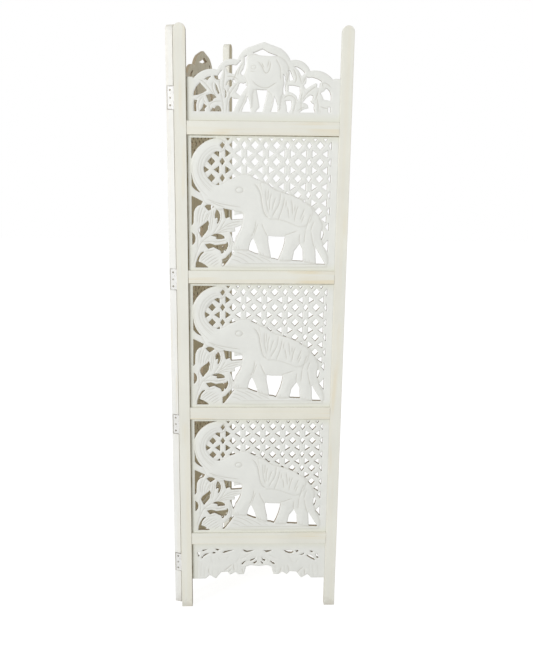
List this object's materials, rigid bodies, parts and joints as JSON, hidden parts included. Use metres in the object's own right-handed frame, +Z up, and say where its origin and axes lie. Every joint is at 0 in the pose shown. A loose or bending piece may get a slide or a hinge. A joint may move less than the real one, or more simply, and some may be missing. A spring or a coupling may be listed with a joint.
{
  "type": "folding room divider screen",
  "caption": "Whitewashed wooden folding screen: pierced jali boards with elephants and lattice in post-and-rail leaves, hinged to fold back to back.",
  "frame": {"origin": "on the floor, in the middle of the space that the half-folded screen takes", "axes": "+X along the front leaf from its hinged edge to its free edge, +Y to its back, +Z up"},
  "size_m": [0.5244, 0.507, 1.8],
  "materials": {
    "frame_wood": "whitewashed, matt, lightly worn",
    "carved_board": "whitewashed carved board, matt",
    "hinge_metal": "painted over with the whitewash",
    "pin_steel": "dull steel"
  },
  "bodies": {
    "front_leaf": {"front_hinge_stile": "frame_wood", "front_free_stile": "frame_wood", "front_top_rail": "frame_wood", "front_upper_rail": "frame_wood", "front_lower_rail": "frame_wood", "front_bottom_rail": "frame_wood", "front_upper_board": "carved_board", "front_middle_board": "carved_board", "front_lower_board": "carved_board", "front_crest_board": "carved_board", "front_apron_board": "carved_board", "front_hinge_plate_1": "hinge_metal", "front_hinge_plate_2": "hinge_metal", "front_hinge_plate_3": "hinge_metal", "front_hinge_plate_4": "hinge_metal", "hinge_pin_1": "pin_steel", "hinge_pin_2": "pin_steel", "hinge_pin_3": "pin_steel", "hinge_pin_4": "pin_steel"},
    "rear_leaf": {"rear_hinge_stile": "frame_wood", "rear_free_stile": "frame_wood", "rear_top_rail": "frame_wood", "rear_upper_rail": "frame_wood", "rear_lower_rail": "frame_wood", "rear_bottom_rail": "frame_wood", "rear_upper_board": "carved_board", "rear_middle_board": "carved_board", "rear_lower_board": "carved_board", "rear_crest_board": "carved_board", "rear_apron_board": "carved_board", "rear_hinge_plate_1": "hinge_metal", "rear_hinge_plate_2": "hinge_metal", "rear_hinge_plate_3": "hinge_metal", "rear_hinge_plate_4": "hinge_metal"}
  },
  "joints": [
    {"name": "leaf_fold", "type": "hinge", "parent": "front_leaf", "child": "rear_leaf", "pos_m": [-0.23828, -0.22802, 0.9], "axis": [0, 0, 1], "range_deg": [-71, 109]}
  ]
}
